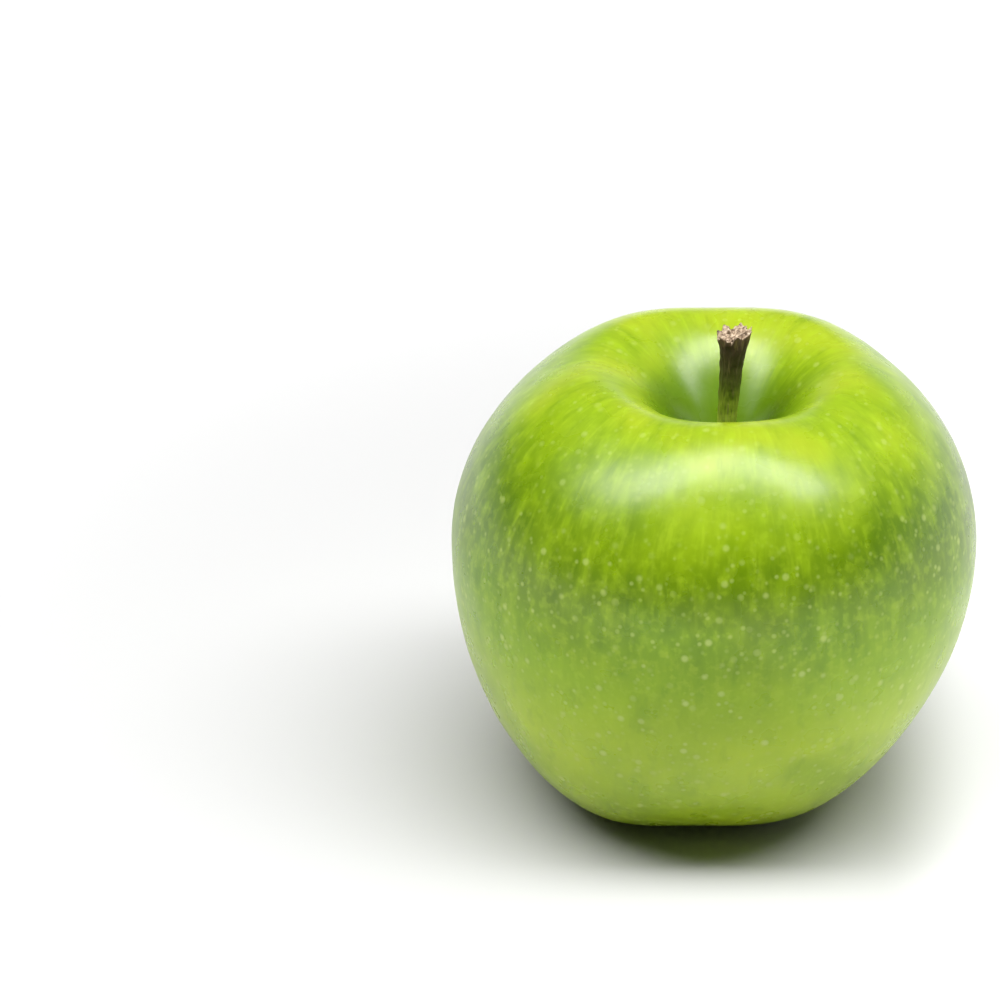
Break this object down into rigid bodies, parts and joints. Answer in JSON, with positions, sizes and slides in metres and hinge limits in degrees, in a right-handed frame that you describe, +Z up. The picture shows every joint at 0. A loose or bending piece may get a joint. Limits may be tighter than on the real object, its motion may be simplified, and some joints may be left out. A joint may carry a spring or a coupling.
{
  "type": "apple",
  "caption": "Fresh green apple standing upright, with a stem in its top cavity and dried sepals in the basin underneath.",
  "frame": {"origin": "under the middle of the fruit's widest girth, at the level of the surface that the apple stands on", "axes": "+Z up, from the calyx basin to the stem; +X to the side that the stem leans to; +Y to the back"},
  "size_m": [0.0788, 0.0788, 0.0754],
  "materials": {
    "skin": "waxy gloss, green with pale lenticel dots",
    "stem_wood": "dry, ridged bark, green at the foot and brown at the end",
    "sepal": "dried, woolly",
    "stamen": "dried, matt"
  },
  "bodies": {
    "root": {"fruit": "skin", "stem": "stem_wood", "sepal_1": "sepal", "sepal_2": "sepal", "sepal_3": "sepal", "sepal_4": "sepal", "sepal_5": "sepal", "stamens": "stamen"}
  },
  "joints": []
}
